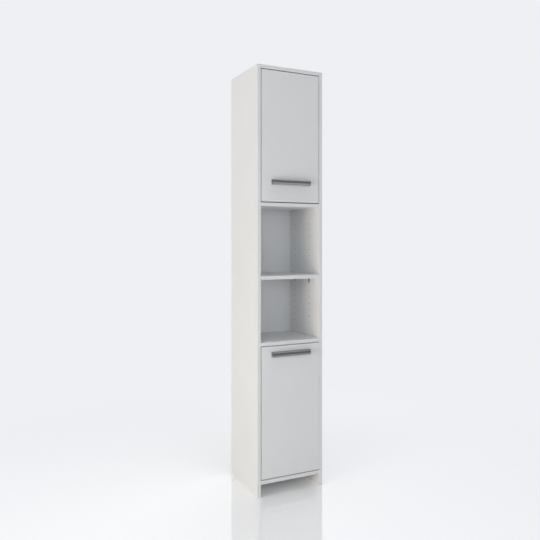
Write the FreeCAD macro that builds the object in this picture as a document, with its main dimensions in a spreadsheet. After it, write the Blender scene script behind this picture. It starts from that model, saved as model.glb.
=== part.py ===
import FreeCAD, Part
import os
import re
import Sketcher

# Tall bathroom cabinet: a narrow column of white board with an upper cupboard, an open
# section with a shelf, and a lower cupboard. X runs to the right, Y to the rear, Z up.
# The origin is on the floor, under the middle of the space that the cabinet fills.

doc = FreeCAD.newDocument("TallBathroomCabinet")
sheet = doc.addObject("Spreadsheet::Sheet", "Sizes")

drivingSizes = [
    # carcass
    ("cabinet_width", 328, "outside width"),
    ("cabinet_depth", 300, "depth of the side panels"),
    ("cabinet_height", 1900, "height of the side panels"),
    ("board", 16, "thickness of every board"),
    ("edge_round", 0.4, "rounding of the board edges"),
    ("base_low", 55, "underside of the base panel"),
    ("lower_fixed_low", 661, "underside of the shelf above the lower door"),
    ("upper_fixed_low", 1278, "underside of the shelf below the upper door"),
    ("fixed_shelf_depth", 283.5, "depth of the two fixed shelves"),
    ("loose_clear", 0.75, "gap at each end of a loose shelf"),
    ("middle_shelf_depth", 282, "depth of the shelf in the open section"),
    ("inner_shelf_depth", 262, "depth of the shelves behind the doors"),
    # back panel in its groove
    ("groove_front", 284, "front of the groove behind the front edges"),
    ("groove_wide", 3.3, "width of the groove"),
    ("groove_deep", 6, "depth of the groove"),
    ("back_thick", 3, "thickness of the back panel"),
    ("back_tuck", 5, "how far the back panel reaches into each groove"),
    # doors
    ("upper_right_gap", 3, "gap at the hinge side of the upper door"),
    ("gap_left", 3.5, "gap at the left of a door"),
    ("gap_under", 4, "gap under a door"),
    ("gap_over_upper", 4, "gap over the upper door"),
    ("gap_over_lower", 3.2, "gap over the lower door"),
    ("lower_right_gap", 0.6, "gap at the right of the lower door"),
    ("door_round", 0.5, "rounding of the door edges"),
    # handles
    ("handle_long", 192, "length of a handle"),
    ("handle_high", 22, "height of a handle"),
    ("handle_out", 18, "how far a handle stands out"),
    ("handle_leg", 10, "width of a handle's leg"),
    ("handle_face", 6.5, "thickness of the handle's front plate"),
    ("handle_roof", 3.5, "thickness of the handle's top plate"),
    ("handle_corner", 4.5, "corner radius of a handle seen from above"),
    ("handle_round", 0.9, "rounding of the handle's long edges"),
    ("groove_low", 8.5, "lower lip of the groove in the handle's face"),
    ("groove_top", 17, "upper lip of the groove in the handle's face"),
    ("groove_in", 4, "depth of the groove in the handle's face"),
    ("groove_slope", 1.2, "slope of that groove's walls"),
    ("upper_handle_low", 1375, "underside of the upper handle"),
    ("lower_handle_low", 611, "underside of the lower handle"),
    ("handle_screw_r", 1.95, "radius of a handle screw"),
    ("handle_bore_r", 2, "radius of the bore in a handle's leg"),
    ("handle_bore_deep", 12, "depth of the bore in a handle's leg"),
    ("door_bore_r", 2.25, "radius of the screw hole through a door"),
    ("handle_head_r", 4, "radius of a handle screw's head"),
    ("handle_head", 2.4, "height of a handle screw's head"),
    # shelf pins
    ("pin_row_front", 94, "front row of pin holes behind the front edge"),
    ("pin_row_rear", 236.5, "rear row of pin holes behind the front edge"),
    ("pin_pitch", 30.36, "step between pin holes"),
    ("pin_r", 2.5, "radius of a pin hole"),
    ("pin_deep", 9, "depth of a pin hole"),
    ("open_high_pins", 1054.9, "lowest hole above the shelf in the open section"),
    ("middle_pin", 933.5, "hole that carries the shelf in the open section"),
    ("open_low_pins", 737.2, "lowest hole below the shelf in the open section"),
    ("upper_pin", 1568, "hole that carries the upper cupboard's shelf"),
    ("lower_pin", 346, "hole that carries the lower cupboard's shelf"),
    # shelf supports
    ("support_pin_r", 2.45, "radius of a support's pin"),
    ("support_pin_long", 8, "how far the pin reaches into the board"),
    ("support_high", 20, "from the pin to the underside of the shelf"),
    ("support_wide", 10, "width of a support"),
    ("support_plate", 1.5, "thickness of a support's plates"),
    ("support_tab", 11, "reach of a support's tab under the shelf"),
    ("support_web", 12, "height of the web under the tab"),
    ("support_web_tip", 10, "reach of that web"),
    # cam fittings and dowels
    ("fitting_front", 48, "front fitting behind the front edge"),
    ("fitting_rear", 248, "rear fitting behind the front edge"),
    ("dowel_front", 84, "front dowel behind the front edge"),
    ("dowel_rear", 212, "rear dowel behind the front edge"),
    ("cam_reach", 34, "cam's centre from the end of its panel"),
    ("cam_bore_r", 7.5, "radius of a cam's bore"),
    ("cam_bore_deep", 12.5, "depth of a cam's bore"),
    ("cam_r", 7.4, "radius of a cam"),
    ("cam_high", 12, "height of a cam"),
    ("cam_slot", 3.7, "half width of the slot for the bolt's head"),
    ("cross_long", 3.2, "half length of the cross recess"),
    ("cross_wide", 0.6, "half width of the cross recess"),
    ("cross_deep", 1.4, "depth of the cross recess"),
    ("bolt_bore_r", 4, "radius of the bolt's bore in the panel's end"),
    ("bolt_thread_r", 2.45, "radius of the bolt's thread"),
    ("bolt_hole_r", 2.5, "radius of the bolt's hole in the side panel"),
    ("bolt_thread", 10.5, "length of the bolt's thread"),
    ("bolt_shank_r", 3, "radius of the bolt's shank"),
    ("bolt_neck_r", 2, "radius of the bolt's neck"),
    ("bolt_head_r", 3.4, "radius of the bolt's head"),
    ("bolt_head", 2.5, "length of the bolt's head"),
    ("side_hole_deep", 11, "depth of the fitting holes in the side panels"),
    ("dowel_r", 3.95, "radius of a dowel"),
    ("dowel_bore_r", 4, "radius of a dowel's bore"),
    ("dowel_in_side", 10.5, "dowel's length in the side panel"),
    ("dowel_in_end", 21.5, "dowel's length in the panel's end"),
    ("dowel_bore_deep", 22.5, "depth of a dowel's bore in the panel's end"),
    # concealed hinges, measured from the line on which the door turns
    ("hinge_inset", 93, "hinge's middle from the end of its door's opening"),
    ("cup_centre", 22.5, "cup's centre from the door's edge"),
    ("cup_bore_r", 17.5, "radius of a cup's bore"),
    ("cup_bore_deep", 11.5, "depth of a cup's bore"),
    ("cup_r", 17.4, "radius of a cup"),
    ("cup_wall", 1, "wall of a cup"),
    ("cup_floor", 4.6, "front of the cup's floor behind the door's face"),
    ("flange", 1.5, "thickness of the cup's flange"),
    ("flange_r", 19.4, "radius of the flange around the cup"),
    ("ear_long", 29, "half height of the flange's ears"),
    ("ear_near", 5, "near side of the ears from the cup's centre"),
    ("ear_far", 15, "far side of the ears from the cup's centre"),
    ("cup_screw_in", 9.5, "cup screws from the cup's centre"),
    ("cup_screw_up", 24, "cup screws above and below the cup's centre"),
    ("arc_near", 26, "inner radius of the curved links"),
    ("arc_far", 30, "outer radius of the curved links"),
    ("plate_thick", 2.2, "thickness of a mounting plate"),
    ("plate_half", 8, "half height of a mounting plate between its wings"),
    ("plate_wing", 9, "half depth of its two wings"),
    ("plate_wing_end", 24, "end of a wing above and below the hinge's middle"),
    ("plate_front", 30, "front of a mounting plate behind the front edge"),
    ("plate_rear", 76, "rear of a mounting plate behind the front edge"),
    ("plate_setback", 55, "plate screws behind the front edge"),
    ("plate_screw_up", 16, "plate screws above and below the hinge's middle"),
    ("arm_deep", 14, "arm's outer face from the door's axis"),
    ("arm_web_front", 32, "front of the arm's web"),
    ("arm_nose", 24, "front of the arm's cheeks"),
    ("arm_rear", 74, "rear end of the arm"),
    ("arm_half", 6.5, "half width of an arm"),
    ("arm_wall", 1.5, "wall of an arm"),
    ("link_half", 4.4, "half width of a link"),
    ("link_gap", 3, "half of the gap between a link's plates"),
    ("bridge_thick", 1.4, "thickness of the bridge between a link's plates"),
    ("bridge_lap", 0.2, "how far the bridge laps over those plates"),
    ("tongue_half", 2.2, "half width of the cup's tongue"),
    ("tongue_far", 29.5, "outer radius of the cup's tongue"),
    ("small_screw_r", 1.25, "radius of a hinge or bracket screw"),
    ("small_pilot_r", 1.3, "radius of its pilot hole"),
    ("small_screw_in", 11.5, "length of that screw in the board"),
    ("small_pilot_deep", 12, "depth of its pilot hole"),
    ("small_head_r", 3.4, "radius of its head"),
    ("small_head", 1.6, "height of its head"),
    ("small_clear_r", 2, "radius of its clearance hole in metal"),
    ("arm_screw_r", 1.9, "radius of an arm's adjusting screw"),
    ("arm_screw_front", 41, "front screw of an arm behind the front edge"),
    ("arm_screw_rear", 66, "rear screw of an arm behind the front edge"),
    # wall brackets on the top
    ("bracket_wide", 22, "width of a wall bracket"),
    ("bracket_foot", 40, "length of its foot"),
    ("bracket_high", 18, "height of its upright"),
    ("bracket_thick", 2, "thickness of a wall bracket"),
    ("bracket_apart", 200, "distance between the wall brackets"),
    ("bracket_hole_up", 11, "wall hole above the top panel"),
    ("bracket_hole_r", 2.75, "radius of the wall hole"),
    ("bracket_screw_back", 28, "foot's screw from the rear edge"),
]
aliases = {name for name, number, meaning in drivingSizes}
for row, (name, number, meaning) in enumerate(drivingSizes, start=1):
    sheet.set(f"A{row}", meaning)
    sheet.set(f"B{row}", str(number))
    sheet.setAlias(f"B{row}", name)
doc.recompute()

# places and lengths that follow from the sheet
frontFace = "-(cabinet_depth - handle_out) / 2"
innerWide = "(cabinet_width - 2 * board)"
innerRight = "(cabinet_width / 2 - board)"
innerLeft = "-(cabinet_width / 2 - board)"
topLow = "(cabinet_height - board)"
fixedLows = [topLow, "upper_fixed_low", "lower_fixed_low", "base_low"]
holeGroups = [
    ("upper_pin - 2 * pin_pitch", 5),
    ("open_high_pins", 6),
    ("middle_pin", 1),
    ("open_low_pins", 6),
    ("lower_pin - 2 * pin_pitch", 5),
]

NODES = []


def inSheet(text):
    """The same formula with every size named as a cell of the sheet."""
    def cell(found):
        word = found.group()
        return "Sizes." + word if word in aliases else word
    return re.sub(r"[a-z_]+", cell, text)


def value(text):
    return float(sheet.evalExpression(inSheet(text)))


def bind(item, prop, text):
    item.setExpression(prop, inSheet(text))


def place(item, x, y, z):
    for axis, text in zip("xyz", (x, y, z)):
        bind(item, "Placement.Base." + axis, text)


def newBody(label):
    body = doc.addObject("PartDesign::Body", label)
    body.Label = label
    NODES.append(body)
    return body


def sketchOn(body, plane, offset="0"):
    """A sketch on one of the body's own planes. YZ looks along X, XZ along -Y, XY along Z."""
    sketch = body.newObject("Sketcher::SketchObject", body.Name + "_sketch")
    support = [f for f in body.Origin.OriginFeatures if f.Role == plane + "_Plane"][0]
    sketch.AttachmentSupport = (support, "")
    sketch.MapMode = "FlatFace"
    bind(sketch, "AttachmentOffset.Base.z", offset)
    return sketch


def pin(sketch, geometry, point, across, up):
    """Holds one point of the sketch at a distance from its origin."""
    for kind, text in (("DistanceX", across), ("DistanceY", up)):
        index = sketch.addConstraint(Sketcher.Constraint(kind, -1, 1, geometry, point, value(text)))
        bind(sketch, f"Constraints[{index}]", text)


def polygon(sketch, points):
    first = sketch.GeometryCount
    corners = [FreeCAD.Vector(value(across), value(up), 0) for across, up in points]
    for start, end in zip(corners, corners[1:] + corners[:1]):
        sketch.addGeometry(Part.LineSegment(start, end), False)
    for i in range(len(points)):
        following = first + (i + 1) % len(points)
        sketch.addConstraint(Sketcher.Constraint("Coincident", first + i, 2, following, 1))
    for i, (across, up) in enumerate(points):
        pin(sketch, first + i, 1, across, up)


def rectangle(sketch, left, low, right, high):
    polygon(sketch, [(left, low), (right, low), (right, high), (left, high)])


def circle(sketch, across, up, radius):
    centre = FreeCAD.Vector(value(across), value(up), 0)
    index = sketch.addGeometry(Part.Circle(centre, FreeCAD.Vector(0, 0, 1), value(radius)), False)
    pin(sketch, index, 3, across, up)
    held = sketch.addConstraint(Sketcher.Constraint("Radius", index, value(radius)))
    bind(sketch, f"Constraints[{held}]", radius)


def pad(body, sketch, length):
    feature = body.newObject("PartDesign::Pad", body.Name + "_pad")
    feature.Profile = sketch
    bind(feature, "Length", length)
    doc.recompute()
    return feature


def pocket(body, sketch, depth, alongNormal=False):
    """Cuts against the sketch's normal, or along it, and makes sure that something was cut."""
    before = body.Shape.Volume
    feature = body.newObject("PartDesign::Pocket", body.Name + "_pocket")
    feature.Profile = sketch
    feature.Reversed = alongNormal
    bind(feature, "Length", depth)
    doc.recompute()
    if not body.Shape.Volume < before - 0.01:
        raise RuntimeError(feature.Name + " cuts nothing")
    return feature


def repeatUpwards(body, feature, sketch, step, count):
    pattern = body.newObject("PartDesign::LinearPattern", body.Name + "_row")
    pattern.Originals = [feature]
    pattern.Direction = (sketch, ["V_Axis"])
    bind(pattern, "Length", f"{step} * {count - 1}")
    pattern.Occurrences = count
    body.Tip = pattern
    doc.recompute()


def roundEdges(body, radius, chosen):
    """Rounds the edges of the body's last feature that the test picks by their two ends."""
    tip = body.Tip
    names = []
    for i, edge in enumerate(tip.Shape.Edges, start=1):
        ends = [vertex.Point for vertex in edge.Vertexes]
        if len(ends) == 2 and chosen(*ends):
            names.append(f"Edge{i}")
    fillet = body.newObject("PartDesign::Fillet", body.Name + "_rounding")
    fillet.Base = (tip, names)
    bind(fillet, "Radius", radius)
    doc.recompute()


def rods(body, plane, spots, stations):
    """Stepped round bars along the plane's normal. Each station is an offset, a length and a radius."""
    for offset, length, radius in stations:
        sketch = sketchOn(body, plane, offset)
        for across, up in spots:
            circle(sketch, across, up, radius)
        pad(body, sketch, length)


def plainBoard(label, wide, deep, thick):
    """A board lying flat, with the two long edges at its front rounded."""
    body = newBody(label)
    outline = sketchOn(body, "XY")
    rectangle(outline, "0", "0", wide, deep)
    pad(body, outline, thick)
    roundEdges(body, "edge_round", lambda a, b: a.y == b.y == 0 and a.z == b.z)
    return body


def sidePanel(side):
    """A full-height side, with its fittings' holes, pin holes and groove on the inner face."""
    body = newBody(side + "_side")
    left = side == "left"
    innerFace = "board" if left else "0"

    outline = sketchOn(body, "XY")
    rectangle(outline, "0", "0", "board", "cabinet_depth")
    pad(body, outline, "cabinet_height")
    roundEdges(body, "edge_round", lambda a, b: True)

    groove = sketchOn(body, "YZ", innerFace)
    rectangle(groove, "groove_front", "0", "groove_front + groove_wide", "cabinet_height")
    pocket(body, groove, "groove_deep", not left)

    for low, count in holeGroups:
        holes = sketchOn(body, "YZ", innerFace)
        for row in ("pin_row_front", "pin_row_rear"):
            circle(holes, row, low, "pin_r")
        cut = pocket(body, holes, "pin_deep", not left)
        if count > 1:
            repeatUpwards(body, cut, holes, "pin_pitch", count)

    fittings = sketchOn(body, "YZ", innerFace)
    for low in fixedLows:
        for row, radius in (
            ("fitting_front", "bolt_hole_r"),
            ("fitting_rear", "bolt_hole_r"),
            ("dowel_front", "dowel_bore_r"),
            ("dowel_rear", "dowel_bore_r"),
        ):
            circle(fittings, row, f"{low} + board / 2", radius)
    pocket(body, fittings, "side_hole_deep", not left)

    if not left:
        pilots = sketchOn(body, "YZ", innerFace)
        for door in doors:
            for middle in door["hinges"].values():
                for sign in "+-":
                    circle(pilots, "plate_setback", f"{middle} {sign} plate_screw_up", "small_pilot_r")
        pocket(body, pilots, "small_pilot_deep", True)

    place(body, "-cabinet_width / 2" if left else innerRight, frontFace, "0")


def fixedPanel(label, low, deep, camsAbove, groove=None):
    """A board between the sides, held by cams and dowels, with its cams' bores above or below."""
    body = plainBoard(label, innerWide, deep, "board")

    if groove:
        slot = sketchOn(body, "YZ")
        bottom, top = {"above": ("board - groove_deep", "board"), "below": ("0", "groove_deep")}[groove]
        rectangle(slot, "groove_front", bottom, "groove_front + groove_wide", top)
        pocket(body, slot, innerWide, True)

    bores = sketchOn(body, "XY", "board" if camsAbove else "0")
    for across in ("cam_reach", innerWide + " - cam_reach"):
        for row in ("fitting_front", "fitting_rear"):
            circle(bores, across, row, "cam_bore_r")
    pocket(body, bores, "cam_bore_deep", not camsAbove)

    for offset, inward in (("0", True), (innerWide, False)):
        ends = sketchOn(body, "YZ", offset)
        for row in ("fitting_front", "fitting_rear"):
            circle(ends, row, "board / 2", "bolt_bore_r")
        pocket(body, ends, "cam_reach", inward)
        ends = sketchOn(body, "YZ", offset)
        for row in ("dowel_front", "dowel_rear"):
            circle(ends, row, "board / 2", "dowel_bore_r")
        pocket(body, ends, "dowel_bore_deep", inward)

    if label == "top_panel":
        pilots = sketchOn(body, "XY", "board")
        for sign in "+-":
            across = f"{innerWide} / 2 {sign} bracket_apart / 2"
            circle(pilots, across, "cabinet_depth - bracket_screw_back", "small_pilot_r")
        pocket(body, pilots, "small_pilot_deep")

    place(body, innerLeft, frontFace, low)


def camFittings(panel, low, camsAbove):
    """The cams, bolts and dowels of one fixed panel, in the panel's own place."""
    corners = []
    for across in ("cam_reach", innerWide + " - cam_reach"):
        for row in ("fitting_front", "fitting_rear"):
            corners.append((across, row))
    cams = newBody(panel + "_cams")
    start = "board - cam_high" if camsAbove else "0"
    rods(cams, "XY", corners, [(start, "cam_high", "cam_r")])
    slots = sketchOn(cams, "XY", start if camsAbove else "cam_high")
    for across, row in corners:
        if across == "cam_reach":
            reach = ("cam_reach - cam_bore_r", "cam_reach + cam_slot")
        else:
            reach = (innerWide + " - cam_reach - cam_slot", innerWide + " - cam_reach + cam_bore_r")
        rectangle(slots, reach[0], row + " - cam_slot", reach[1], row + " + cam_slot")
    pocket(cams, slots, "cam_high - board / 2 + cam_slot", camsAbove)
    crosses = sketchOn(cams, "XY", "board" if camsAbove else "0")
    for across, row in corners:
        polygon(crosses, crossOutline(across, row))
    pocket(cams, crosses, "cross_deep", not camsAbove)

    bolts = newBody(panel + "_bolts")
    spots = [("fitting_front", "board / 2"), ("fitting_rear", "board / 2")]
    tip = "cam_reach - bolt_head / 2"
    shank = "(cam_reach - cam_bore_r)"
    rods(bolts, "YZ", spots, [
        ("-bolt_thread", "bolt_thread", "bolt_thread_r"),
        ("0", shank, "bolt_shank_r"),
        (shank, f"{tip} - {shank}", "bolt_neck_r"),
        (tip, "bolt_head", "bolt_head_r"),
        (innerWide, "bolt_thread", "bolt_thread_r"),
        (f"{innerWide} - {shank}", shank, "bolt_shank_r"),
        (f"{innerWide} - ({tip})", f"{tip} - {shank}", "bolt_neck_r"),
        (f"{innerWide} - ({tip}) - bolt_head", "bolt_head", "bolt_head_r"),
    ])

    dowels = newBody(panel + "_dowels")
    spots = [("dowel_front", "board / 2"), ("dowel_rear", "board / 2")]
    rods(dowels, "YZ", spots, [
        ("-dowel_in_side", "dowel_in_side + dowel_in_end", "dowel_r"),
        (innerWide + " - dowel_in_end", "dowel_in_side + dowel_in_end", "dowel_r"),
    ])

    for group in (cams, bolts, dowels):
        place(group, innerLeft, frontFace, low)


def crossOutline(across, up):
    """The twelve corners of a cross recess for a screwdriver."""
    steps = [
        ("-", "long", "-", "wide"), ("-", "wide", "-", "wide"), ("-", "wide", "-", "long"),
        ("+", "wide", "-", "long"), ("+", "wide", "-", "wide"), ("+", "long", "-", "wide"),
        ("+", "long", "+", "wide"), ("+", "wide", "+", "wide"), ("+", "wide", "+", "long"),
        ("-", "wide", "+", "long"), ("-", "wide", "+", "wide"), ("-", "long", "+", "wide"),
    ]
    return [(f"{across} {a} cross_{b}", f"{up} {c} cross_{d}") for a, b, c, d in steps]


def backPanel():
    body = newBody("back_panel")
    outline = sketchOn(body, "XY")
    rectangle(outline, "0", "0", innerWide + " + 2 * back_tuck", "back_thick")
    pad(body, outline, topLow + " - base_low - board + 2 * back_tuck")
    across = innerLeft + " - back_tuck"
    middle = frontFace + " + groove_front + (groove_wide - back_thick) / 2"
    place(body, across, middle, "base_low + board - back_tuck")


def looseShelf(label, deep, pinHeight):
    body = plainBoard(label, innerWide + " - 2 * loose_clear", deep, "board")
    rear = frontFace + " + groove_front - 1"
    place(body, innerLeft + " + loose_clear", f"{rear} - {deep}", f"{pinHeight} + support_high")


def shelfSupports(label, pinHeight):
    """Four angle supports: a pin in the side, a plate against it, a tab under the shelf and a web."""
    body = newBody(label)
    rows = ["pin_row_front", "pin_row_rear"]
    under = "support_high - support_plate"
    for left in (True, False):
        face = "0" if left else innerWide
        pins = sketchOn(body, "YZ", "-support_pin_long" if left else innerWide)
        plates = sketchOn(body, "YZ", face if left else face + " - support_plate")
        tabs = sketchOn(body, "YZ", face if left else face + " - support_tab")
        for row in rows:
            near, far = row + " - support_wide / 2", row + " + support_wide / 2"
            circle(pins, row, "0", "support_pin_r")
            rectangle(plates, near, "-support_wide / 2", far, "support_high")
            rectangle(tabs, near, under, far, "support_high")
        pad(body, pins, "support_pin_long")
        pad(body, plates, "support_plate")
        pad(body, tabs, "support_tab")
        for row in rows:
            webs = sketchOn(body, "XZ", f"-({row} + support_plate / 2)")
            wall = "support_plate" if left else innerWide + " - support_plate"
            tip = "support_web_tip" if left else innerWide + " - support_web_tip"
            polygon(webs, [(wall, under), (tip, under), (wall, under + " - support_web")])
            pad(body, webs, "support_plate")
    place(body, innerLeft, frontFace, pinHeight)


def doorPanel(door):
    body = newBody(door["name"] + "_door")
    wide, high = door["wide"], door["high"]
    outline = sketchOn(body, "XY")
    rectangle(outline, "0", "0", wide, "board")
    pad(body, outline, high)
    roundEdges(body, "door_round", lambda a, b: True)

    cups = sketchOn(body, "XZ", "-board")
    pilots = sketchOn(body, "XZ", "-board")
    for hingeHeight in door["hinges"].values():
        middle = f"{hingeHeight} - ({door['low']})"
        circle(cups, f"({wide}) - cup_centre", middle, "cup_bore_r")
        for sign in "+-":
            across = f"({wide}) - cup_centre - cup_screw_in"
            circle(pilots, across, f"{middle} {sign} cup_screw_up", "small_pilot_r")
    pocket(body, cups, "cup_bore_deep", True)
    pocket(body, pilots, "small_pilot_deep", True)

    bores = sketchOn(body, "XZ")
    middle = f"{door['handle_low']} + handle_high / 2 - ({door['low']})"
    for sign in "+-":
        across = f"-({door['left']}) {sign} (handle_long - handle_leg) / 2"
        circle(bores, across, middle, "door_bore_r")
    pocket(body, bores, "board")
    place(body, door["left"], frontFace, door["low"])


def handle(door):
    """A metal bow: a grooved front plate and a top plate between two legs, open underneath."""
    body = newBody(door["name"] + "_handle")
    outline = sketchOn(body, "XY")
    rectangle(outline, "0", "0", "handle_long", "handle_out")
    pad(body, outline, "handle_high")
    roundEdges(body, "handle_corner", lambda a, b: a.y == b.y == 0 and a.x == b.x)
    rear = value("handle_out")
    roundEdges(body, "handle_round", lambda a, b: a.z == b.z and min(a.y, b.y) < rear)

    groove = sketchOn(body, "YZ")
    polygon(groove, [
        ("0", "groove_low"),
        ("groove_in", "groove_low + groove_slope"),
        ("groove_in", "groove_top - groove_slope"),
        ("0", "groove_top"),
    ])
    pocket(body, groove, "handle_long", True)

    grip = sketchOn(body, "YZ", "handle_leg")
    rectangle(grip, "handle_face", "0", "handle_out", "handle_high - handle_roof")
    pocket(body, grip, "handle_long - 2 * handle_leg", True)

    bores = sketchOn(body, "XZ", "-handle_out")
    for across in ("handle_leg / 2", "handle_long - handle_leg / 2"):
        circle(bores, across, "handle_high / 2", "handle_bore_r")
    pocket(body, bores, "handle_bore_deep", True)
    place(body, "-handle_long / 2", frontFace + " - handle_out", door["handle_low"])

    screws = newBody(door["name"] + "_handle_screws")
    spots = [("handle_leg / 2", "0"), ("handle_long - handle_leg / 2", "0")]
    rods(screws, "XZ", spots, [
        ("-board", "board + handle_bore_deep - 1", "handle_screw_r"),
        ("-board - handle_head", "handle_head", "handle_head_r"),
    ])
    place(screws, "-handle_long / 2", frontFace, f"{door['handle_low']} + handle_high / 2")


def sector(name, fromAngle, toAngle, low, high, near="arc_near", far="arc_far"):
    """A curved bar about the door's axis, between two angles, two heights and two radii."""
    outer = doc.addObject("Part::Cylinder", name + "_outer")
    inner = doc.addObject("Part::Cylinder", name + "_inner")
    for solid, radius in ((outer, far), (inner, near)):
        bind(solid, "Radius", radius)
        bind(solid, "Height", f"({high}) - ({low})")
        bind(solid, "Placement.Base.z", low)
    outer.Angle = toAngle - fromAngle
    outer.Placement.Rotation = FreeCAD.Rotation(FreeCAD.Vector(0, 0, 1), fromAngle)
    bar = doc.addObject("Part::Cut", name)
    bar.Base = outer
    bar.Tool = inner
    return bar


def block(name, lowCorner, highCorner):
    """A plain block between two corners."""
    solid = doc.addObject("Part::Box", name)
    for prop, low, high in zip(("Length", "Width", "Height"), lowCorner, highCorner):
        bind(solid, prop, f"({high}) - ({low})")
    place(solid, *lowCorner)
    return solid


def joined(name, pieces):
    whole = doc.addObject("Part::MultiFuse", name)
    whole.Shapes = pieces
    return whole


def hingeCup(label, door, middle):
    """A pressed cup in the door with its flange, ears and the curved tongue that the links meet."""
    pressing = doc.addObject("PartDesign::Body", label + "_pressing")
    rods(pressing, "XZ", [("-cup_centre", "0")], [("-board", "board - cup_floor", "cup_r")])
    ears = sketchOn(pressing, "XZ", "-board - flange")
    rectangle(ears, "-cup_centre - ear_far", "-ear_long", "-cup_centre - ear_near", "ear_long")
    pad(pressing, ears, "flange")
    rods(pressing, "XZ", [("-cup_centre", "0")], [("-board - flange", "flange", "flange_r")])
    hollow = sketchOn(pressing, "XZ", "-board - flange")
    circle(hollow, "-cup_centre", "0", "cup_r - cup_wall")
    pocket(pressing, hollow, "board + flange - cup_floor - cup_wall", True)
    holes = sketchOn(pressing, "XZ", "-board - flange")
    for up in ("cup_screw_up", "-cup_screw_up"):
        circle(holes, "-cup_centre - cup_screw_in", up, "small_clear_r")
    pocket(pressing, holes, "flange", True)
    tongue = sector(label + "_tongue", linkStart, tongueEnd, "-tongue_half", "tongue_half", far="tongue_far")
    return finish(joined(label, [pressing, tongue]), label, door["axis"], frontFace, middle)


def hingeArm(label, door, middle):
    """A channel on the mounting plate whose two cheeks run on as curved bars into the cup."""
    seat = door["gap"] + " - plate_thick"
    cheekIn = "arm_half - arm_wall"
    webLow = ("-arm_deep", "arm_web_front", "-arm_half")
    webHigh = ("-arm_deep + arm_wall", "arm_rear", "arm_half")
    pieces = [block(label + "_web", webLow, webHigh)]
    for side, low, high in (
        ("upper", cheekIn, "arm_half"),
        ("lower", "-arm_half", "-(" + cheekIn + ")"),
    ):
        name = label + "_" + side
        pieces.append(block(name + "_cheek", ("-arm_deep", "arm_nose", low), (seat, "arm_rear", high)))
        pieces.append(sector(name + "_bar", linkStart, armEnd, low, high))
    whole = joined(label + "_channel", pieces)
    holes = []
    for i, along in enumerate(armScrews):
        hole = doc.addObject("Part::Cylinder", f"{label}_hole_{i}")
        bind(hole, "Radius", "small_clear_r")
        bind(hole, "Height", "arm_wall")
        hole.Placement.Rotation = FreeCAD.Rotation(FreeCAD.Vector(0, 1, 0), 90)
        place(hole, "-arm_deep", along, "0")
        holes.append(hole)
    cut = doc.addObject("Part::Cut", label)
    cut.Base = whole
    cut.Tool = joined(label + "_holes", holes)
    return finish(cut, label, door["axis"], frontFace, middle)


def finish(item, label, x, y, z):
    """Puts a piece in its place and counts it among the cabinet's own pieces."""
    item.Label = label
    place(item, x, y, z)
    NODES.append(item)
    return item


def mountingPlate(label, door, middle):
    body = newBody(label)
    plate = sketchOn(body, "YZ", door["gap"] + " - plate_thick")
    near, far = "plate_setback - plate_wing", "plate_setback + plate_wing"
    polygon(plate, [
        (near, "-plate_wing_end"), (far, "-plate_wing_end"),
        (far, "-plate_half"), ("plate_rear", "-plate_half"),
        ("plate_rear", "plate_half"), (far, "plate_half"),
        (far, "plate_wing_end"), (near, "plate_wing_end"),
        (near, "plate_half"), ("plate_front", "plate_half"),
        ("plate_front", "-plate_half"), (near, "-plate_half"),
    ])
    pad(body, plate, "plate_thick")
    holes = sketchOn(body, "YZ", door["gap"] + " - plate_thick")
    for up in ("plate_screw_up", "-plate_screw_up"):
        circle(holes, "plate_setback", up, "small_clear_r")
    pocket(body, holes, "plate_thick", True)
    place(body, door["axis"], frontFace, middle)


def hingeLinks(door):
    """In each hinge, a pair of curved plates tied by a bridge on their outside."""
    links = []
    for where, middle in door["hinges"].items():
        name = f"{door['name']}_{where}_link"
        upper = sector(name + "_upper", linkStart, linkEnd, "link_gap", "link_half")
        lower = sector(name + "_lower", linkStart, linkEnd, "-link_half", "-link_gap")
        bridge = sector(
            name + "_bridge", bridgeStart, bridgeEnd, "-link_half", "link_half",
            "arc_far - bridge_lap", "arc_far + bridge_thick",
        )
        link = joined(name, [upper, lower, bridge])
        place(link, door["axis"], frontFace, middle)
        links.append(link)
    group = doc.addObject("Part::Compound", door["name"] + "_hinge_links")
    group.Label = group.Name
    group.Links = links
    NODES.append(group)


def hingeScrews(door):
    """Screws of both hinges of a door: in the cups' ears, in the plates and in the arms."""
    cupScrews = newBody(door["name"] + "_hinge_cup_screws")
    plateScrews = newBody(door["name"] + "_hinge_plate_screws")
    armScrewSet = newBody(door["name"] + "_hinge_arm_screws")
    middles = list(door["hinges"].values())
    back = "-board - flange"
    rods(cupScrews, "XZ",
         [("-cup_centre - cup_screw_in", f"{m} {s} cup_screw_up") for m in middles for s in "+-"],
         [(back, "small_screw_in + flange", "small_screw_r"),
          (back + " - small_head", "small_head", "small_head_r")])
    seat = door["gap"] + " - plate_thick"
    rods(plateScrews, "YZ",
         [("plate_setback", f"{m} {s} plate_screw_up") for m in middles for s in "+-"],
         [(seat, "small_screw_in + plate_thick", "small_screw_r"),
          (seat + " - small_head", "small_head", "small_head_r")])
    rods(armScrewSet, "YZ", [(along, m) for m in middles for along in armScrews],
         [("-arm_deep", f"arm_deep + {seat}", "arm_screw_r"),
          ("-arm_deep - small_head", "small_head", "small_head_r")])
    for group in (cupScrews, plateScrews, armScrewSet):
        place(group, door["axis"], frontFace, "0")


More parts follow.
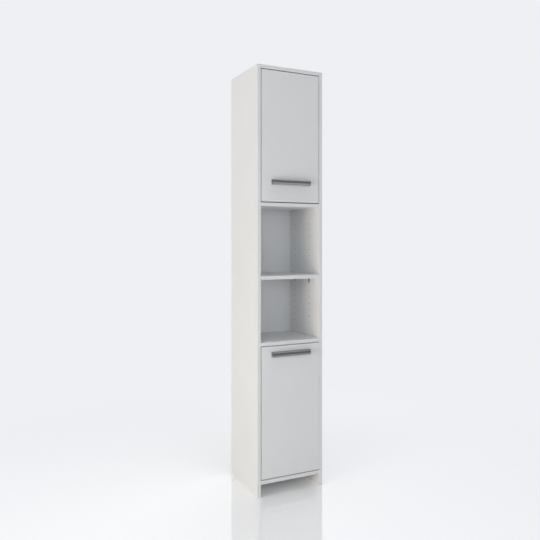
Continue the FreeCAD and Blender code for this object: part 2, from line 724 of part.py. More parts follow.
def wallBrackets():
    """Two steel angles on the top, whose uprights are flush with the rear of the sides."""
    for side, sign in (("left", "-"), ("right", "")):
        body = newBody(side + "_wall_bracket")
        profile = sketchOn(body, "YZ")
        polygon(profile, [
            ("0", "0"), ("bracket_foot", "0"), ("bracket_foot", "bracket_high"),
            ("bracket_foot - bracket_thick", "bracket_high"),
            ("bracket_foot - bracket_thick", "bracket_thick"), ("0", "bracket_thick"),
        ])
        pad(body, profile, "bracket_wide")
        wallHole = sketchOn(body, "XZ", "-bracket_foot")
        circle(wallHole, "bracket_wide / 2", "bracket_hole_up", "bracket_hole_r")
        pocket(body, wallHole, "bracket_thick", True)
        footHole = sketchOn(body, "XY", "bracket_thick")
        circle(footHole, "bracket_wide / 2", "bracket_foot - bracket_screw_back", "small_clear_r")
        pocket(body, footHole, "bracket_thick")
        across = f"{sign}bracket_apart / 2 - bracket_wide / 2"
        place(body, across, frontFace + " + cabinet_depth - bracket_foot", "cabinet_height")

    screws = newBody("wall_bracket_screws")
    spots = [(f"{sign}bracket_apart / 2", "0") for sign in ("-", "")]
    rods(screws, "XY", spots, [
        ("bracket_thick - small_screw_in", "small_screw_in", "small_screw_r"),
        ("bracket_thick", "small_head", "small_head_r"),
    ])
    place(screws, "0", frontFace + " + cabinet_depth - bracket_screw_back", "cabinet_height")


# angles of the curved hinge bars about the door's axis, in degrees from +X
linkStart = 113
linkEnd = 166
armEnd = 165
tongueEnd = 169.6
bridgeStart = 125
bridgeEnd = 148
armScrews = ("arm_screw_front", "arm_screw_rear")

doors = []
for doorName, low, high, gap, gapOver in (
    ("upper", "upper_fixed_low + board", topLow, "upper_right_gap", "gap_over_upper"),
    ("lower", "base_low + board", "lower_fixed_low", "lower_right_gap", "gap_over_lower"),
):
    doors.append({
        "name": doorName,
        "low": f"{low} + gap_under",
        "high": f"{high} - ({low}) - gap_under - {gapOver}",
        "left": innerLeft + " + gap_left",
        "wide": f"{innerWide} - gap_left - {gap}",
        "gap": gap,
        "axis": f"{innerRight} - {gap}",
        "handle_low": doorName + "_handle_low",
        "hinges": {
            "bottom": f"{low} + hinge_inset",
            "top": f"{high} - hinge_inset",
        },
    })

sidePanel("left")
sidePanel("right")
for panel, panelLow, panelDeep, above, slotFace in (
    ("top_panel", topLow, "cabinet_depth", False, "below"),
    ("upper_fixed_shelf", "upper_fixed_low", "fixed_shelf_depth", True, None),
    ("lower_fixed_shelf", "lower_fixed_low", "fixed_shelf_depth", False, None),
    ("base_panel", "base_low", "cabinet_depth", False, "above"),
):
    fixedPanel(panel, panelLow, panelDeep, above, slotFace)
    camFittings(panel, panelLow, above)
backPanel()
for shelf, shelfDeep, pinHeight in (
    ("middle_shelf", "middle_shelf_depth", "middle_pin"),
    ("upper_inner_shelf", "inner_shelf_depth", "upper_pin"),
    ("lower_inner_shelf", "inner_shelf_depth", "lower_pin"),
):
    looseShelf(shelf, shelfDeep, pinHeight)
    shelfSupports(shelf + "_supports", pinHeight)
for door in doors:
    doorPanel(door)
    handle(door)
    for where, middle in door["hinges"].items():
        stem = f"{door['name']}_door_{where}_hinge"
        hingeCup(stem + "_cup", door, middle)
        hingeArm(stem + "_arm", door, middle)
        mountingPlate(stem + "_plate", door, middle)
    hingeLinks(door)
    hingeScrews(door)
wallBrackets()
doc.recompute()

for item in doc.Objects:
    if "Invalid" in item.State or "Error" in item.State:
        raise RuntimeError(f"{item.Name} is {item.State}")
for node in NODES:
    if node.Shape.isNull() or not node.Shape.isValid():
        raise RuntimeError(node.Label + " has no valid shape")

os.makedirs("parts", exist_ok=True)
for node in NODES:
    node.Shape.exportStep(f"parts/{node.Label}.step")
    box = node.Shape.BoundBox
    solids = len(node.Shape.Solids)
    print(f"{node.Label:34s} {solids:2d} solids {node.Shape.Volume / 1000:9.2f} cm3", end="")
    print(f" x {box.XMin:7.1f} {box.XMax:7.1f} y {box.YMin:7.1f} {box.YMax:7.1f}", end="")
    print(f" z {box.ZMin:7.1f} {box.ZMax:7.1f}")
print(len(NODES), "nodes")
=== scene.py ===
import bmesh
import bpy
import math
from mathutils import Matrix, Vector


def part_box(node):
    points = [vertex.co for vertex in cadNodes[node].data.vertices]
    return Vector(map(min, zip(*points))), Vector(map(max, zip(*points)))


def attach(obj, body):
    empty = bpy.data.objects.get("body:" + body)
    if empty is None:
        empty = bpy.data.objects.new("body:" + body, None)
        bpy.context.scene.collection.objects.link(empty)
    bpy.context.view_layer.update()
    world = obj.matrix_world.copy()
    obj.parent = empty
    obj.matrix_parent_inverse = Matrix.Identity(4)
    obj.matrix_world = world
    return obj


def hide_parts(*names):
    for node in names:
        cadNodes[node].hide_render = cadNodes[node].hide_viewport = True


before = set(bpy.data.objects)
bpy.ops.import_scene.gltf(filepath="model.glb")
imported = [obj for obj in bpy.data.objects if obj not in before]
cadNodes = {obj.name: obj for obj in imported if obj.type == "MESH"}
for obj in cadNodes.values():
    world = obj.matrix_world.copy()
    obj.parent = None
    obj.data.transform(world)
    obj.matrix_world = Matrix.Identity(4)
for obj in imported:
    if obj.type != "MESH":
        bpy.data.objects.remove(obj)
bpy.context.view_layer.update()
print("frame loaded:", len(cadNodes), "nodes")


# helpers for node materials

def feed(tree, socket, source):
    if isinstance(source, bpy.types.NodeSocket):
        tree.links.new(source, socket)
    else:
        socket.default_value = source


def addNode(tree, kind, inputs, **settings):
    made = tree.nodes.new("ShaderNode" + kind)
    for name, setting in settings.items():
        setattr(made, name, setting)
    for name, source in inputs.items():
        feed(tree, made.inputs[name], source)
    return made


def calculate(tree, operation, *sources):
    made = tree.nodes.new("ShaderNodeMath")
    made.operation = operation
    for index, source in enumerate(sources):
        feed(tree, made.inputs[index], source)
    return made.outputs[0]


def multiply(tree, first, second):
    return calculate(tree, "MULTIPLY", first, second)


def combine(tree, operation, parts):
    made = parts[0]
    for part in parts[1:]:
        made = calculate(tree, operation, made, part)
    return made


def rescale(tree, source, fromLow, fromHigh, toLow=0.0, toHigh=1.0):
    inputs = {"Value": source, "From Min": fromLow, "From Max": fromHigh, "To Min": toLow, "To Max": toHigh}
    return addNode(tree, "MapRange", inputs).outputs["Result"]


def blendColours(tree, factor, first, second):
    made = addNode(tree, "Mix", {}, data_type="RGBA")
    feed(tree, made.inputs[0], factor)
    feed(tree, made.inputs[6], first)
    feed(tree, made.inputs[7], second)
    return made.outputs[2]


def blendValues(tree, factor, first, second):
    made = addNode(tree, "Mix", {})
    feed(tree, made.inputs[0], factor)
    feed(tree, made.inputs[2], first)
    feed(tree, made.inputs[3], second)
    return made.outputs[0]


def separated(tree, vector):
    return addNode(tree, "SeparateXYZ", {"Vector": vector}).outputs


def stretched(tree, place, stretch):
    return addNode(tree, "Mapping", {"Vector": place, "Scale": stretch}).outputs["Vector"]


def noise(tree, place, scale, detail):
    return addNode(tree, "TexNoise", {"Vector": place, "Scale": scale, "Detail": detail}).outputs["Fac"]


def patches(tree, place, pattern, toLow=0.0, toHigh=1.0):
    scale, detail, fromLow, fromHigh = pattern
    return rescale(tree, noise(tree, place, scale, detail), fromLow, fromHigh, toLow, toHigh)


def bump(tree, height, relief):
    strength, distance = relief
    inputs = {"Height": height, "Strength": strength, "Distance": distance}
    return addNode(tree, "Bump", inputs).outputs["Normal"]


def rgba(colour):
    return (*colour, 1.0)


def startMaterial(name):
    material = bpy.data.materials.new(name)
    material.use_nodes = True
    tree = material.node_tree
    place = tree.nodes.new("ShaderNodeTexCoord").outputs["Object"]
    return material, tree, tree.nodes["Principled BSDF"], place


def startOwnShaders(material):
    material.use_nodes = True
    tree = material.node_tree
    tree.nodes.clear()
    return tree, addNode(tree, "LightPath", {}).outputs


def dress(piece, material):
    if not piece.material_slots:
        piece.data.materials.append(material)
    for held in piece.material_slots:
        held.material = material


def depthBehind(tree, axes, box, face):
    index = "xyz".index(face[0])
    if face[1] == "-":
        return calculate(tree, "SUBTRACT", axes[index], box[0][index])
    return calculate(tree, "SUBTRACT", box[1][index], axes[index])


# white board: chipboard with a foil on its faces and bands on its edges
boards = {
    "white": (0.800, 0.800, 0.800),
    "whiteCloud": (0.785, 0.786, 0.788),
    "clouds": (5.0, 3.0, 0.35, 0.65),       # scale, detail and the span of the noise that is used
    "chipDark": (0.270, 0.185, 0.115),
    "chipMiddle": (0.500, 0.380, 0.250),
    "chipLight": (0.680, 0.560, 0.400),
    "chipStretch": (1.0, 1.0, 1.6),
    "chipsPerMetre": 420.0,
    "dust": (1800.0, 3.0),                  # scale and detail
    "dustShare": 0.35,
    # painted shade: raw board in the side panels' bores, away from the rear edge, is coloured near black
    # for the shade inside the holes
    "boreShade": ("left_side", "right_side"),
    "boreShadeTone": (0.020, 0.018, 0.017),
    "boreShadeShare": 0.97,
    "boreShadeStart": (0.020, 0.022),            # from the rear edge, past the back panel's groove
    "foilThick": 0.00030,                   # raw board shows deeper than this
    "foilFade": 1.4,
    "bandThick": 0.0010,
    "seamWide": 0.00012,
    "seamTone": (0.42, 0.42, 0.41),
    "seamShare": 0.35,
    "pearl": (1500.0, 2.0),                 # fine structure of the foil
    "pearlShare": 0.12,
    "sheen": (40.0, 4.0, 0.3, 0.7),
    "foilRoughness": (0.36, 0.46),
    "rawRoughness": 0.92,
    "specular": 0.42,
    "relief": (0.35, 0.00012),              # strength and distance
    "faces": {                              # foiled faces, then the banded ones; the rest is raw
        "left_side": ("x- x+ y- z+", "y- z+"),
        "right_side": ("x- x+ y- z+", "y- z+"),
        "top_panel": ("z- z+ y-", "y-"),
        "upper_fixed_shelf": ("z- z+ y-", "y-"),
        "lower_fixed_shelf": ("z- z+ y-", "y-"),
        "base_panel": ("z- z+ y-", "y-"),
        "middle_shelf": ("z- z+ y- x- x+", "y-"),
        "upper_inner_shelf": ("z- z+ y- x- x+", "y-"),
        "lower_inner_shelf": ("z- z+ y- x- x+", "y-"),
        "upper_door": ("y- y+ x- x+ z- z+", "x- x+ z- z+"),
        "lower_door": ("y- y+ x- x+ z- z+", "x- x+ z- z+"),
    },
}


def bandSeams(tree, axes, box, banded):
    lines = []
    for face in banded:
        depth = depthBehind(tree, axes, box, face)
        away = calculate(tree, "ABSOLUTE", calculate(tree, "SUBTRACT", depth, boards["bandThick"]))
        lines.append(rescale(tree, away, boards["seamWide"] / 2, boards["seamWide"], 1.0, 0.0))
    return combine(tree, "MAXIMUM", lines)


def chipColour(tree, chips, dust):
    dark, middle, light = (rgba(boards[name]) for name in ("chipDark", "chipMiddle", "chipLight"))
    shade = separated(tree, chips.outputs["Color"])[0]
    tone = blendColours(tree, rescale(tree, shade, 0.0, 0.5), dark, middle)
    tone = blendColours(tree, rescale(tree, shade, 0.5, 1.0), tone, light)
    return blendColours(tree, multiply(tree, dust, boards["dustShare"]), tone, middle)


def boardMaterial(node):
    material, tree, shader, place = startMaterial("board_" + node)
    axes = separated(tree, place)
    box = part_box(node)
    foiled, banded = (text.split() for text in boards["faces"][node])
    nearest = combine(tree, "MINIMUM", [depthBehind(tree, axes, box, face) for face in foiled])
    raw = rescale(tree, nearest, boards["foilThick"], boards["foilThick"] * boards["foilFade"])
    seam = bandSeams(tree, axes, box, banded)

    clouds = patches(tree, place, boards["clouds"])
    white = blendColours(tree, clouds, rgba(boards["white"]), rgba(boards["whiteCloud"]))
    white = blendColours(tree, multiply(tree, seam, boards["seamShare"]), white, rgba(boards["seamTone"]))

    chips = addNode(tree, "TexVoronoi", {
        "Vector": stretched(tree, place, boards["chipStretch"]), "Scale": boards["chipsPerMetre"],
    })
    dust = noise(tree, place, *boards["dust"])
    chipTone = chipColour(tree, chips, dust)
    # painted shade inside the side panels' bores
    if node in boards["boreShade"]:
        fromRear = rescale(tree, depthBehind(tree, axes, box, "y+"), *boards["boreShadeStart"])
        boreShade = multiply(tree, fromRear, boards["boreShadeShare"])
        chipTone = blendColours(tree, boreShade, chipTone, rgba(boards["boreShadeTone"]))

    pearl = noise(tree, place, *boards["pearl"])
    smooth = patches(tree, place, boards["sheen"], *boards["foilRoughness"])
    rawHeight = calculate(tree, "ADD", chips.outputs["Distance"], dust)
    foilHeight = calculate(tree, "SUBTRACT", multiply(tree, pearl, boards["pearlShare"]), seam)
    height = blendValues(tree, raw, foilHeight, rawHeight)

    feed(tree, shader.inputs["Base Color"], blendColours(tree, raw, white, chipTone))
    feed(tree, shader.inputs["Roughness"], blendValues(tree, raw, smooth, boards["rawRoughness"]))
    feed(tree, shader.inputs["Normal"], bump(tree, height, boards["relief"]))
    shader.inputs["Specular IOR Level"].default_value = boards["specular"]
    return material


for node in boards["faces"]:
    dress(cadNodes[node], boardMaterial(node))
print("boards dressed")


# back panel: thin hardboard, white in front and brown behind
backBoard = {
    "node": "back_panel",
    "front": (0.822, 0.825, 0.829),
    "frontCloud": (0.812, 0.815, 0.821),
    "clouds": (6.0, 2.0, 0.3, 0.7),
    "brown": (0.330, 0.205, 0.120),
    "brownLight": (0.430, 0.285, 0.175),
    "stains": (7.0, 3.0, 0.35, 0.7),
    "stainShare": 0.35,
    "lacquerThick": 0.00015,
    "lacquerFade": 1.5,
    "fibres": (900.0, 4.0),
    "fibreStretch": (1.0, 1.0, 0.45),
    "fibresInFront": 0.15,                  # how much of their relief shows through the lacquer
    "roughness": (0.5, 0.8),                # front, rear
    "relief": (0.4, 0.00015),
}


def backMaterial():
    material, tree, shader, place = startMaterial("hardboard")
    depth = depthBehind(tree, separated(tree, place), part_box(backBoard["node"]), "y-")
    thick = backBoard["lacquerThick"]
    raw = rescale(tree, depth, thick, thick * backBoard["lacquerFade"])
    fibres = noise(tree, stretched(tree, place, backBoard["fibreStretch"]), *backBoard["fibres"])
    brown = blendColours(tree, fibres, rgba(backBoard["brown"]), rgba(backBoard["brownLight"]))
    stains = patches(tree, place, backBoard["stains"], 0.0, backBoard["stainShare"])
    brown = blendColours(tree, stains, brown, rgba(backBoard["brownLight"]))
    clouds = patches(tree, place, backBoard["clouds"])
    front = blendColours(tree, clouds, rgba(backBoard["front"]), rgba(backBoard["frontCloud"]))
    height = blendValues(tree, raw, multiply(tree, fibres, backBoard["fibresInFront"]), fibres)
    feed(tree, shader.inputs["Base Color"], blendColours(tree, raw, front, brown))
    feed(tree, shader.inputs["Roughness"], blendValues(tree, raw, *backBoard["roughness"]))
    feed(tree, shader.inputs["Normal"], bump(tree, height, backBoard["relief"]))
    return material


dress(cadNodes[backBoard["node"]], backMaterial())
print("back panel dressed")


# metals, each with its colours, roughness, grain and relief
metals = {
    "handleSatin": {
        "base": (0.245, 0.250, 0.254), "worn": (0.310, 0.315, 0.318), "metallic": 0.9,
        "roughness": (0.42, 0.54), "grain": (40.0, 2600.0, 2600.0), "relief": (0.25, 0.00003),
    },
    "nickelSteel": {
        "base": (0.690, 0.675, 0.650), "worn": (0.650, 0.638, 0.615), "metallic": 1.0,
        "roughness": (0.17, 0.25), "grain": (260.0, 260.0, 2400.0), "relief": (0.06, 0.00001),
    },
    "darkSteel": {
        "base": (0.200, 0.200, 0.205), "worn": (0.290, 0.290, 0.290), "metallic": 1.0,
        "roughness": (0.28, 0.42), "grain": (900.0, 900.0, 900.0), "relief": (0.20, 0.00003),
    },
    "brightScrew": {
        "base": (0.680, 0.675, 0.660), "worn": (0.600, 0.595, 0.580), "metallic": 1.0,
        "roughness": (0.20, 0.30), "grain": (1800.0, 1800.0, 1800.0), "relief": (0.08, 0.00001),
    },
    "castZinc": {
        "base": (0.560, 0.565, 0.570), "worn": (0.450, 0.455, 0.460), "metallic": 1.0,
        "roughness": (0.42, 0.56), "grain": (1500.0, 1500.0, 1500.0), "relief": (0.30, 0.00004),
    },
    "zincPlate": {
        "base": (0.620, 0.630, 0.640), "worn": (0.520, 0.530, 0.545), "metallic": 1.0,
        "roughness": (0.28, 0.46), "grain": (160.0, 160.0, 160.0), "relief": (0.20, 0.00003),
    },
}
metalSurface = {
    "grainDetail": 3.0,
    "grainSpan": (0.3, 0.7),
    "clouds": (55.0, 3.0, 0.35, 0.65),
    "grainShare": 0.5,
}
grooveShade = {                            # painted shade: a darker colour inside the groove along each handle's face, standing in for the shade there
    "tone": (0.165, 0.171, 0.176),
    "roughness": 0.62,
    "bounds": (                             # face, depth where the painted shade starts, depth where it is full
        ("y-", 0.0007, 0.0012),
        ("y-", 0.0060, 0.0055),
        ("z-", 0.0080, 0.0084),
        ("z+", 0.0045, 0.0049),
    ),
}


def metalMaterial(name, grooved=None):
    look = metals[name]
    material, tree, shader, place = startMaterial("groove_shaded_" + grooved if grooved else name)
    grain = noise(tree, stretched(tree, place, look["grain"]), 1.0, metalSurface["grainDetail"])
    clouds = patches(tree, place, metalSurface["clouds"])
    share = metalSurface["grainShare"]
    tone = calculate(tree, "ADD", multiply(tree, grain, share), multiply(tree, clouds, 1.0 - share))
    colour = blendColours(tree, tone, rgba(look["base"]), rgba(look["worn"]))
    rough = rescale(tree, grain, *metalSurface["grainSpan"], *look["roughness"])
    if grooved:
        # painted shade: darken the colour inside the handle's groove
        axes = separated(tree, place)
        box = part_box(grooved)
        grooveShadeMask = combine(tree, "MULTIPLY", [
            rescale(tree, depthBehind(tree, axes, box, face), start, full)
            for face, start, full in grooveShade["bounds"]
        ])
        colour = blendColours(tree, grooveShadeMask, colour, rgba(grooveShade["tone"]))
        rough = blendValues(tree, grooveShadeMask, rough, grooveShade["roughness"])
    feed(tree, shader.inputs["Base Color"], colour)
    feed(tree, shader.inputs["Roughness"], rough)
    feed(tree, shader.inputs["Normal"], bump(tree, grain, look["relief"]))
    shader.inputs["Metallic"].default_value = look["metallic"]
    return material


beech = {
    "light": (0.640, 0.450, 0.270),
    "dark": (0.480, 0.310, 0.170),
    "grain": (60.0, 900.0, 900.0),
    "grainDetail": 4.0,
    "grainSpan": (0.3, 0.7),
    "flecks": (300.0, 2500.0, 2500.0),
    "fleckDetail": 2.0,
    "fleckTone": (0.7, 1.2),
    "roughness": (0.55, 0.7),
    "relief": (0.4, 0.0001),
}


def beechMaterial():
    material, tree, shader, place = startMaterial("beech")
    grain = noise(tree, stretched(tree, place, beech["grain"]), 1.0, beech["grainDetail"])
    flecks = noise(tree, stretched(tree, place, beech["flecks"]), 1.0, beech["fleckDetail"])
    tone = multiply(tree, grain, rescale(tree, flecks, *beech["grainSpan"], *beech["fleckTone"]))
    colour = blendColours(tree, tone, rgba(beech["light"]), rgba(beech["dark"]))
    feed(tree, shader.inputs["Base Color"], colour)
    feed(tree, shader.inputs["Roughness"], rescale(tree, grain, *beech["grainSpan"], *beech["roughness"]))
    feed(tree, shader.inputs["Normal"], bump(tree, grain, beech["relief"]))
    return material


finishes = {name: metalMaterial(name) for name in metals if name != "handleSatin"}
finishes["beech"] = beechMaterial()
nodeFinishes = {                            # by the last word of a node's name
    "cams": "castZinc",
    "bolts": "brightScrew",
    "dowels": "beech",
    "supports": "darkSteel",
    "cup": "nickelSteel",
    "arm": "nickelSteel",
    "plate": "nickelSteel",
    "links": "nickelSteel",
    "screws": "brightScrew",
    "bracket": "zincPlate",
}
for name, piece in cadNodes.items():
    ending = name.split("_")[-1]
    if ending == "handle":
        dress(piece, metalMaterial("handleSatin", name))
    elif ending in nodeFinishes:
        dress(piece, finishes[nodeFinishes[ending]])
print("fittings dressed")


# screws: turned heads with a cross recess, on threaded shanks
screwShape = {
    "sides": 24,
    "dome": (                               # shares of the head's radius and height, from its underside
        (0.90, 0.0), (1.0, 0.14), (0.985, 0.42), (0.90, 0.72), (0.74, 0.90), (0.50, 0.98), (0.25, 1.0),
    ),
    "recessLong": 0.62,                     # share of the head's radius
    "recessWide": 0.00042,
    "recessDeep": 0.70,                     # share of the head's height
    "recessTaper": 0.5,                     # its length at the bottom, as a share of that at the top
    "recessOver": 1.4,                      # how far the cutter reaches, as a share of the head's height
    "threadDeep": 0.16,                     # share of the shank's radius
    "stepsPerTurn": 5,
    "tipLong": 0.0028,
    "tipWide": 0.08,                        # share of the shank's radius
    "bluntLong": 0.002,
    "bluntWide": 0.82,
    "shankInHead": 0.2,                     # share of the head's height
    "firstTurn": 17,                        # degrees that the first recess is turned
    "nextTurn": 41,
    "sharpAngle": 38,
}
screwTypes = {                              # head: radius, height; shank: radius, length, pitch
    "handleScrew": {"head": (0.0040, 0.0024), "shank": (0.00195, 0.0270, 0.0007), "pointed": False},
    "cupScrew": {"head": (0.0034, 0.0016), "shank": (0.00125, 0.0130, 0.0012), "pointed": True},
    "plateScrew": {"head": (0.0034, 0.0016), "shank": (0.00125, 0.0137, 0.0012), "pointed": True},
    "upperArmScrew": {"head": (0.0034, 0.0016), "shank": (0.0019, 0.0148, 0.0007), "pointed": False},
    "lowerArmScrew": {"head": (0.0034, 0.0016), "shank": (0.0019, 0.0124, 0.0007), "pointed": False},
    "bracketScrew": {"head": (0.0034, 0.0016), "shank": (0.00125, 0.0115, 0.0012), "pointed": True},
}
upperHinges = (1.387, 1.791)                # heights of the hinges' middles
lowerHinges = (0.164, 0.568)
cupSpread = (-0.024, 0.024)                 # screws above and below a hinge's middle
plateSpread = (-0.016, 0.016)
screwSets = {                               # points: the way the heads look
    "upper_handle_screws": {
        "body": "upper_door", "type": "handleScrew", "points": (0, 1, 0),
        "seats": [(x, -0.125, 1.386) for x in (-0.091, 0.091)],
    },
    "lower_handle_screws": {
        "body": "lower_door", "type": "handleScrew", "points": (0, 1, 0),
        "seats": [(x, -0.125, 0.622) for x in (-0.091, 0.091)],
    },
    "upper_hinge_cup_screws": {
        "body": "upper_door", "type": "cupScrew", "points": (0, 1, 0),
        "seats": [(0.113, -0.1235, z + up) for z in upperHinges for up in cupSpread],
    },
    "lower_hinge_cup_screws": {
        "body": "lower_door", "type": "cupScrew", "points": (0, 1, 0),
        "seats": [(0.1154, -0.1235, z + up) for z in lowerHinges for up in cupSpread],
    },
    "upper_hinge_plate_screws": {
        "body": "carcass", "type": "plateScrew", "points": (-1, 0, 0),
        "seats": [(0.1458, -0.086, z + up) for z in upperHinges for up in plateSpread],
    },
    "lower_hinge_plate_screws": {
        "body": "carcass", "type": "plateScrew", "points": (-1, 0, 0),
        "seats": [(0.1458, -0.086, z + up) for z in lowerHinges for up in plateSpread],
    },
    "upper_hinge_arm_screws": {
        "body": "carcass", "type": "upperArmScrew", "points": (-1, 0, 0),
        "seats": [(0.131, y, z) for z in upperHinges for y in (-0.100, -0.075)],
    },
    "lower_hinge_arm_screws": {
        "body": "carcass", "type": "lowerArmScrew", "points": (-1, 0, 0),
        "seats": [(0.1334, y, z) for z in lowerHinges for y in (-0.100, -0.075)],
    },
    "wall_bracket_screws": {
        "body": "carcass", "type": "bracketScrew", "points": (0, 0, 1),
        "seats": [(x, 0.131, 1.902) for x in (-0.100, 0.100)],
    },
}


def ringOf(mesh, radii, height):
    ring = []
    for step, radius in enumerate(radii):
        angle = 2 * math.pi * step / len(radii)
        ring.append(mesh.verts.new((radius * math.cos(angle), radius * math.sin(angle), height)))
    return ring


def bridgeRings(mesh, lower, upper):
    for step in range(len(lower)):
        following = (step + 1) % len(lower)
        mesh.faces.new((lower[step], lower[following], upper[following], upper[step]))


def closeRing(mesh, ring, height, upwards):
    centre = mesh.verts.new((0, 0, height))
    for step in range(len(ring)):
        pair = (ring[step], ring[(step + 1) % len(ring)])
        if not upwards:
            pair = pair[::-1]
        mesh.faces.new((*pair, centre))


def stackRings(mesh, rings, lowHeight, highHeight):
    for lower, upper in zip(rings, rings[1:]):
        bridgeRings(mesh, lower, upper)
    closeRing(mesh, rings[0], lowHeight, False)
    closeRing(mesh, rings[-1], highHeight, True)


def headSolid(radius, high):
    mesh = bmesh.new()
    rings = []
    for wide, up in screwShape["dome"]:
        rings.append(ringOf(mesh, [radius * wide] * screwShape["sides"], high * up))
    stackRings(mesh, rings, 0.0, high)
    return mesh


def crossSolid(radius, high):
    mesh = bmesh.new()
    long = radius * screwShape["recessLong"]
    wide = screwShape["recessWide"]
    taper = screwShape["recessTaper"]
    bottom = high * (1 - screwShape["recessDeep"])
    low, top = [], []
    for quarter in range(4):
        turn = Matrix.Rotation(math.pi / 2 * quarter, 3, "Z")
        for across, up, narrowed in ((long, -wide, taper), (long, wide, taper), (wide, wide, 1.0)):
            low.append(mesh.verts.new(turn @ Vector((across * narrowed, up, bottom))))
            top.append(mesh.verts.new(turn @ Vector((across, up, high * screwShape["recessOver"]))))
    bridgeRings(mesh, low, top)
    mesh.faces.new(top)
    mesh.faces.new(low[::-1])
    return mesh


def shankSolid(radius, length, pitch, pointed, top):
    mesh = bmesh.new()
    sides = screwShape["sides"]
    count = math.ceil(length / pitch * screwShape["stepsPerTurn"])
    ending = "tip" if pointed else "blunt"
    rings = []
    for index in range(count + 1):
        height = -length + (length + top) * index / count
        fromEnd = height + length
        full = radius * min(1.0, screwShape[ending + "Wide"] + fromEnd / screwShape[ending + "Long"])
        radii = []
        for step in range(sides):
            turn = (height / pitch - step / sides) % 1.0
            radii.append(full * (1 - screwShape["threadDeep"] * abs(2 * turn - 1)))
        rings.append(ringOf(mesh, radii, height))
    stackRings(mesh, rings, -length, top)
    return mesh


def asObject(name, mesh):
    data = bpy.data.meshes.new(name)
    mesh.to_mesh(data)
    mesh.free()
    piece = bpy.data.objects.new(name, data)
    bpy.context.scene.collection.objects.link(piece)
    return piece


def cutWith(piece, cutter):
    modifier = piece.modifiers.new("recess", "BOOLEAN")
    modifier.operation = "DIFFERENCE"
    modifier.solver = "EXACT"
    modifier.object = cutter
    settled = piece.evaluated_get(bpy.context.evaluated_depsgraph_get())
    data = bpy.data.meshes.new_from_object(settled)
    for used in (piece, cutter):
        bpy.data.objects.remove(used)
    return data


def screwMesh(kind):
    radius, high = kind["head"]
    head = cutWith(asObject("head", headSolid(radius, high)), asObject("cross", crossSolid(radius, high)))
    shank = shankSolid(*kind["shank"], kind["pointed"], high * screwShape["shankInHead"])
    shank.from_mesh(head)
    one = bpy.data.meshes.new("screw")
    shank.to_mesh(one)
    shank.free()
    return one


def makeScrews(name, look):
    one = screwMesh(screwTypes[look["type"]])
    every = bmesh.new()
    upright = Vector((0, 0, 1)).rotation_difference(Vector(look["points"])).to_matrix().to_4x4()
    for index, seat in enumerate(look["seats"]):
        degrees = screwShape["firstTurn"] + screwShape["nextTurn"] * index
        turn = Matrix.Rotation(math.radians(degrees), 4, "Z")
        copy = one.copy()
        copy.transform(Matrix.Translation(seat) @ upright @ turn)
        every.from_mesh(copy)
    piece = asObject(name.replace("screws", "screw_set"), every)
    piece.data.shade_smooth()
    piece.data.set_sharp_from_angle(angle=math.radians(screwShape["sharpAngle"]))
    dress(piece, finishes["brightScrew"])
    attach(piece, look["body"])
    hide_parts(name)


for name, look in screwSets.items():
    makeScrews(name, look)
print("screws made:", sum(len(look["seats"]) for look in screwSets.values()))


# floor, lamps, surroundings and camera
floorLook = {
    "reach": 9.0,
    "sides": 96,
    "white": (0.900, 0.900, 0.895),
    "shine": 0.20,
    "shineRoughness": 0.06,
    "paintedGlow": 0.135,                          # glow of the floor outside the cabinet's footprint, seen directly; left out beneath the cabinet, it is painted shade there
    "paintedGlowEdge": 0.110,                      # how far inside the footprint the glow has faded into the painted shade
    "fade": (0.5, 1.9),                     # metres from the cabinet's middle
}
surroundings = {
    "background": (0.855, 0.871, 0.905),
    "light": (0.880, 0.925, 1.000),
    "lightStrength": 0.27,
    "horizonGlow": 1.75,                    # for reflections, between the heights below
    "glowLow": (0.08, 0.20),
    "glowHigh": (0.50, 0.65),
}
cameraLook = {
    "place": (-1.2893, -2.5780, 1.1205),
    "turn": -26.597,
    "lens": 40.915,
    "sensorWide": 36.0,
    "shift": (-0.01287, -0.05217),
}
lamps = {
    "softboxLeft": {
        "place": (-2.9, -1.0, 0.54), "aim": (0, 0, 0.75), "size": (1.5, 1.3), "power": 48.5,
        "tint": (1.0, 0.915, 0.815),
    },
    "softboxFrontLeft": {
        "place": (-2.4, -2.6, 2.0), "aim": (0, 0, 0.3), "size": (1.8, 1.4), "power": 13.0,
        "tint": (0.93, 1.0, 1.0),
    },
    "softboxFront": {
        "place": (-0.1, -3.3, 1.3), "aim": (0, 0, 0.5), "size": (2.0, 1.2), "power": 15.5,
        "tint": (0.92, 0.955, 1.0),
    },
    "softboxTop": {
        "place": (0, 0, 4.5), "aim": (0, 0.001, 0.5), "size": (3.0, 3.0), "power": 58.0,
        "tint": (0.97, 0.98, 1.0),
    },
    "softboxBack": {
        "place": (2.4, 2.4, 1.2), "aim": (0, 0, 0.95), "size": (1.8, 1.8), "power": 24.0,
        "tint": (1.0, 0.98, 0.95),
    },
}


def mixShaders(tree, factor, first, second):
    made = tree.nodes.new("ShaderNodeMixShader")
    feed(tree, made.inputs[0], factor)
    tree.links.new(first, made.inputs[1])
    tree.links.new(second, made.inputs[2])
    return made.outputs[0]


def addShaders(tree, first, second):
    made = tree.nodes.new("ShaderNodeAddShader")
    tree.links.new(first, made.inputs[0])
    tree.links.new(second, made.inputs[1])
    return made.outputs[0]


def glowing(tree, colour, strength):
    return addNode(tree, "Emission", {"Color": rgba(colour), "Strength": strength}).outputs[0]


def seenDirectly(tree, rays):
    mirrored = calculate(tree, "MAXIMUM", rays["Is Glossy Ray"], rays["Is Transmission Ray"])
    return calculate(tree, "MAXIMUM", rays["Is Camera Ray"], mirrored)


# painted shade: 1 beneath the cabinet, where the floor's glow is left out
def footprintShade(tree, axes):
    low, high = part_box("left_side")[0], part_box("right_side")[1]
    parts = []
    for axis, side, sign in ((0, low[0], 1), (0, high[0], -1), (1, low[1], 1), (1, high[1], -1)):
        inwards = multiply(tree, calculate(tree, "SUBTRACT", axes[axis], side), sign)
        parts.append(rescale(tree, inwards, 0.0, floorLook["paintedGlowEdge"]))
    return combine(tree, "MULTIPLY", parts)


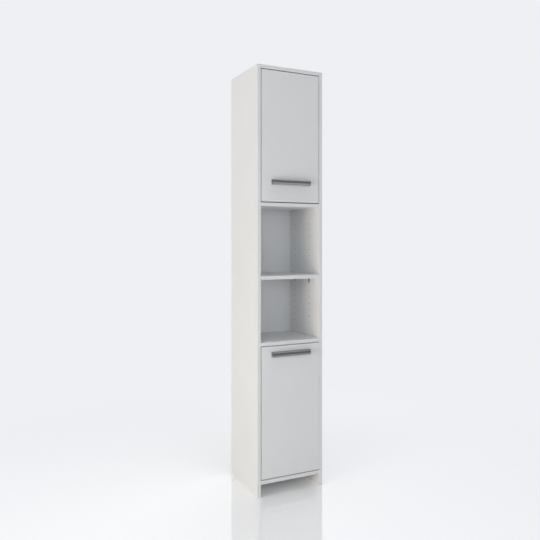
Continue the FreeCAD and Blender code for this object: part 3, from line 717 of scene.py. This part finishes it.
def makeFloor():
    mesh = bmesh.new()
    bmesh.ops.create_circle(mesh, cap_ends=True, segments=floorLook["sides"], radius=floorLook["reach"])
    floor = asObject("floor", mesh)
    material = bpy.data.materials.new("paleFloor")
    tree, rays = startOwnShaders(material)
    seen = seenDirectly(tree, rays)
    place = tree.nodes.new("ShaderNodeTexCoord").outputs["Object"]
    glowMask = calculate(tree, "SUBTRACT", 1.0, footprintShade(tree, separated(tree, place)))
    paintedGlow = multiply(tree, multiply(tree, seen, glowMask), floorLook["paintedGlow"])
    matt = addNode(tree, "BsdfDiffuse", {"Color": rgba(floorLook["white"])}).outputs[0]
    matt = addShaders(tree, matt, glowing(tree, (1, 1, 1), paintedGlow))
    shine = addNode(tree, "BsdfGlossy", {
        "Color": rgba((1, 1, 1)), "Roughness": floorLook["shineRoughness"],
    }).outputs[0]
    polished = mixShaders(tree, multiply(tree, rays["Is Camera Ray"], floorLook["shine"]), matt, shine)
    away = addNode(tree, "VectorMath", {0: place}, operation="LENGTH").outputs["Value"]
    far = multiply(tree, rescale(tree, away, *floorLook["fade"]), seen)
    surface = mixShaders(tree, far, polished, glowing(tree, surroundings["background"], 1.0))
    output = tree.nodes.new("ShaderNodeOutputMaterial")
    tree.links.new(surface, output.inputs["Surface"])
    dress(floor, material)


def makeSurroundings():
    world = bpy.data.worlds.new("studio")
    tree, rays = startOwnShaders(world)
    way = tree.nodes.new("ShaderNodeTexCoord").outputs["Generated"]
    rise = separated(tree, way)[2]
    lower = rescale(tree, rise, *surroundings["glowLow"])
    upper = rescale(tree, rise, *surroundings["glowHigh"], 1.0, 0.0)
    band = multiply(tree, multiply(tree, lower, upper), rays["Is Glossy Ray"])
    glow = calculate(tree, "ADD", 1.0, multiply(tree, band, surroundings["horizonGlow"] - 1.0))
    light = addNode(tree, "Background", {
        "Color": rgba(surroundings["light"]), "Strength": surroundings["lightStrength"],
    }).outputs[0]
    plain = addNode(tree, "Background", {
        "Color": rgba(surroundings["background"]), "Strength": glow,
    }).outputs[0]
    output = tree.nodes.new("ShaderNodeOutputWorld")
    tree.links.new(mixShaders(tree, seenDirectly(tree, rays), light, plain), output.inputs["Surface"])
    bpy.context.scene.world = world


def makeLamp(name, look):
    data = bpy.data.lights.new(name, "AREA")
    data.shape = "RECTANGLE"
    data.size, data.size_y = look["size"]
    data.energy = look["power"]
    data.color = look["tint"]
    lamp = bpy.data.objects.new(name, data)
    lamp.location = look["place"]
    lamp.visible_glossy = False             # or the floor mirrors the softboxes
    lamp.rotation_euler = (Vector(look["aim"]) - Vector(look["place"])).to_track_quat("-Z", "Y").to_euler()
    bpy.context.scene.collection.objects.link(lamp)


def makeCamera():
    data = bpy.data.cameras.new("camera")
    data.sensor_width = cameraLook["sensorWide"]
    data.lens = cameraLook["lens"]
    data.shift_x, data.shift_y = cameraLook["shift"]
    camera = bpy.data.objects.new("camera", data)
    camera.location = cameraLook["place"]
    camera.rotation_euler = (math.radians(90), 0, math.radians(cameraLook["turn"]))
    bpy.context.scene.collection.objects.link(camera)
    bpy.context.scene.camera = camera


makeFloor()
makeSurroundings()
for name, look in lamps.items():
    makeLamp(name, look)
makeCamera()
bpy.context.scene.view_settings.view_transform = "Standard"
print("studio ready")
